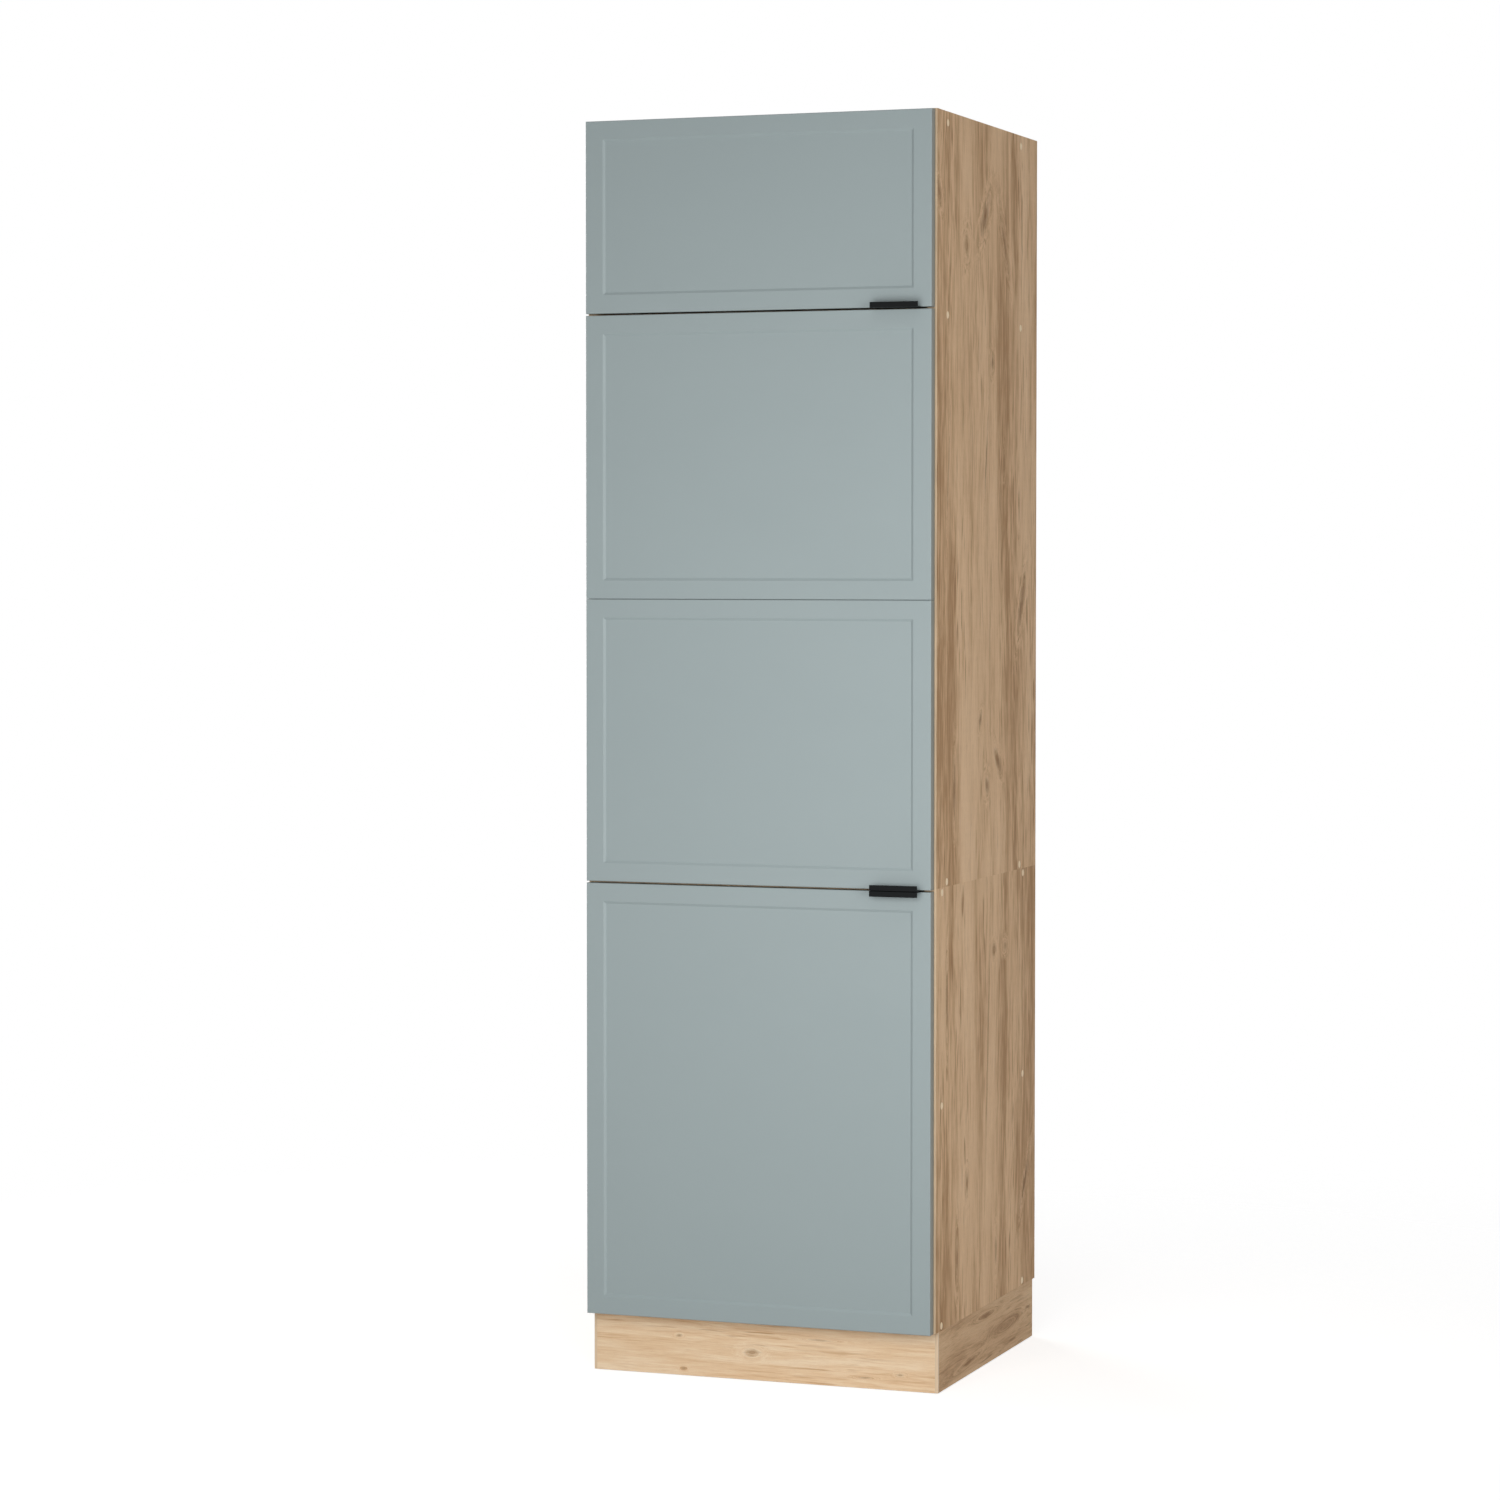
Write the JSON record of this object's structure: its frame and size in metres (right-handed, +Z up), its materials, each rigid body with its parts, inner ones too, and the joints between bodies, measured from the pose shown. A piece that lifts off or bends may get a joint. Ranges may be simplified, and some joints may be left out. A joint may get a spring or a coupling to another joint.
{
  "type": "fridge housing unit",
  "caption": "Tall kitchen cabinet that houses a built-in refrigerator, with hinged slim-frame fronts, edge pulls, a plinth and adjustable feet.",
  "frame": {"origin": "middle of the footprint at floor level", "axes": "+Z up, the fronts face -Y, the hinges are on the -X side and the pulls on the +X side"},
  "size_m": [0.6, 0.6, 2.06],
  "materials": {
    "oak_board": "matt oak decor on chipboard",
    "back_panel": "matt foil on thin fibreboard",
    "front_lacquer": "matt grey lacquer on fibreboard",
    "pull_black": "matt black",
    "cap_plastic": "matt beige",
    "bead_plastic": "matt pale oak",
    "foot_plastic": "black",
    "bumper_rubber": "clear pale",
    "hinge_nickel": "nickel plated",
    "zinc_steel": "zinc plated",
    "fastener_steel": "zinc plated"
  },
  "bodies": {
    "carcass": {"assembly_screws": "fastener_steel", "box_joining_screws": "fastener_steel", "cover_caps": "cap_plastic", "dividing_board": "oak_board", "door_bumpers": "bumper_rubber", "foot_sockets": "foot_plastic", "hinge_arm_pins": "fastener_steel", "hinge_arms": "hinge_nickel", "hinge_plate_screws": "fastener_steel", "hinge_plates": "hinge_nickel", "lower_back_panel": "back_panel", "lower_bottom_board": "oak_board", "lower_shelf": "oak_board", "lower_side_left": "oak_board", "lower_side_right": "oak_board", "lower_top_board": "oak_board", "niche_floor_board": "oak_board", "plinth_clip_screws": "fastener_steel", "plinth_clips": "foot_plastic", "plinth_corner_beads": "bead_plastic", "plinth_front": "oak_board", "plinth_side_left": "oak_board", "plinth_side_right": "oak_board", "upper_back_panel": "back_panel", "upper_side_left": "oak_board", "upper_side_right": "oak_board", "upper_top_board": "oak_board", "wall_bracket_screws": "fastener_steel", "wall_brackets": "zinc_steel"},
    "lower_door": {"lower_cup_pins": "fastener_steel", "lower_cup_screws": "fastener_steel", "lower_front": "front_lacquer", "lower_hinge_cups": "hinge_nickel", "lower_pull": "pull_black", "lower_pull_screws": "fastener_steel"},
    "lower_door_outer_links": {"lower_outer_links": "hinge_nickel"},
    "lower_door_inner_links": {"lower_inner_links": "hinge_nickel"},
    "middle_door": {"middle_cup_pins": "fastener_steel", "middle_cup_screws": "fastener_steel", "middle_hinge_cups": "hinge_nickel", "middle_joining_plates": "zinc_steel", "middle_joining_screws": "fastener_steel", "middle_lower_front": "front_lacquer", "middle_pull": "pull_black", "middle_pull_screws": "fastener_steel", "middle_upper_front": "front_lacquer"},
    "middle_door_outer_links": {"middle_outer_links": "hinge_nickel"},
    "middle_door_inner_links": {"middle_inner_links": "hinge_nickel"},
    "top_door": {"top_cup_pins": "fastener_steel", "top_cup_screws": "fastener_steel", "top_front": "front_lacquer", "top_hinge_cups": "hinge_nickel", "top_pull": "pull_black", "top_pull_screws": "fastener_steel"},
    "top_door_outer_links": {"top_outer_links": "hinge_nickel"},
    "top_door_inner_links": {"top_inner_links": "hinge_nickel"},
    "foot_front_left": {"foot_leg_front_left": "foot_plastic"},
    "foot_front_right": {"foot_leg_front_right": "foot_plastic"},
    "foot_rear_left": {"foot_leg_rear_left": "foot_plastic"},
    "foot_rear_right": {"foot_leg_rear_right": "foot_plastic"}
  },
  "joints": [
    {"name": "lower_door_outer_link_turn", "type": "hinge", "parent": "carcass", "child": "lower_door_outer_links", "pos_m": [-0.2685, -0.251, 0.456], "axis": [0, 0, -1], "range_deg": [-26.1, 0]},
    {"name": "lower_door_swing", "type": "hinge", "parent": "lower_door_outer_links", "child": "lower_door", "pos_m": [-0.2877, -0.2653, 0.456], "axis": [0, 0, -1], "range_deg": [0, 116.1]},
    {"name": "lower_door_inner_link_turn", "type": "hinge", "parent": "carcass", "child": "lower_door_inner_links", "pos_m": [-0.274, -0.256, 0.456], "axis": [0, 0, -1], "range_deg": [-11.26, 0]},
    {"name": "middle_door_outer_link_turn", "type": "hinge", "parent": "carcass", "child": "middle_door_outer_links", "pos_m": [-0.2685, -0.251, 1.27825], "axis": [0, 0, -1], "range_deg": [-26.1, 0]},
    {"name": "middle_door_swing", "type": "hinge", "parent": "middle_door_outer_links", "child": "middle_door", "pos_m": [-0.2877, -0.2653, 1.27825], "axis": [0, 0, -1], "range_deg": [0, 116.1]},
    {"name": "middle_door_inner_link_turn", "type": "hinge", "parent": "carcass", "child": "middle_door_inner_links", "pos_m": [-0.274, -0.256, 1.27825], "axis": [0, 0, -1], "range_deg": [-11.26, 0]},
    {"name": "top_door_outer_link_turn", "type": "hinge", "parent": "carcass", "child": "top_door_outer_links", "pos_m": [-0.2685, -0.251, 1.90125], "axis": [0, 0, -1], "range_deg": [-26.1, 0]},
    {"name": "top_door_swing", "type": "hinge", "parent": "top_door_outer_links", "child": "top_door", "pos_m": [-0.2877, -0.2653, 1.90125], "axis": [0, 0, -1], "range_deg": [0, 116.1]},
    {"name": "top_door_inner_link_turn", "type": "hinge", "parent": "carcass", "child": "top_door_inner_links", "pos_m": [-0.274, -0.256, 1.90125], "axis": [0, 0, -1], "range_deg": [-11.26, 0]},
    {"name": "foot_front_left_height", "type": "slide", "parent": "carcass", "child": "foot_front_left", "axis": [0, 0, 1], "range_m": [-0.02, 0.01]},
    {"name": "foot_front_right_height", "type": "slide", "parent": "carcass", "child": "foot_front_right", "axis": [0, 0, 1], "range_m": [-0.02, 0.01]},
    {"name": "foot_rear_left_height", "type": "slide", "parent": "carcass", "child": "foot_rear_left", "axis": [0, 0, 1], "range_m": [-0.02, 0.01]},
    {"name": "foot_rear_right_height", "type": "slide", "parent": "carcass", "child": "foot_rear_right", "axis": [0, 0, 1], "range_m": [-0.02, 0.01]}
  ],
  "couplings": [
    {"joint": "lower_door_outer_link_turn", "follows": "lower_door_swing", "ratio": -0.2248},
    {"joint": "lower_door_inner_link_turn", "follows": "lower_door_swing", "ratio": -0.0969},
    {"joint": "middle_door_outer_link_turn", "follows": "middle_door_swing", "ratio": -0.2248},
    {"joint": "middle_door_inner_link_turn", "follows": "middle_door_swing", "ratio": -0.0969},
    {"joint": "top_door_outer_link_turn", "follows": "top_door_swing", "ratio": -0.2248},
    {"joint": "top_door_inner_link_turn", "follows": "top_door_swing", "ratio": -0.0969}
  ]
}
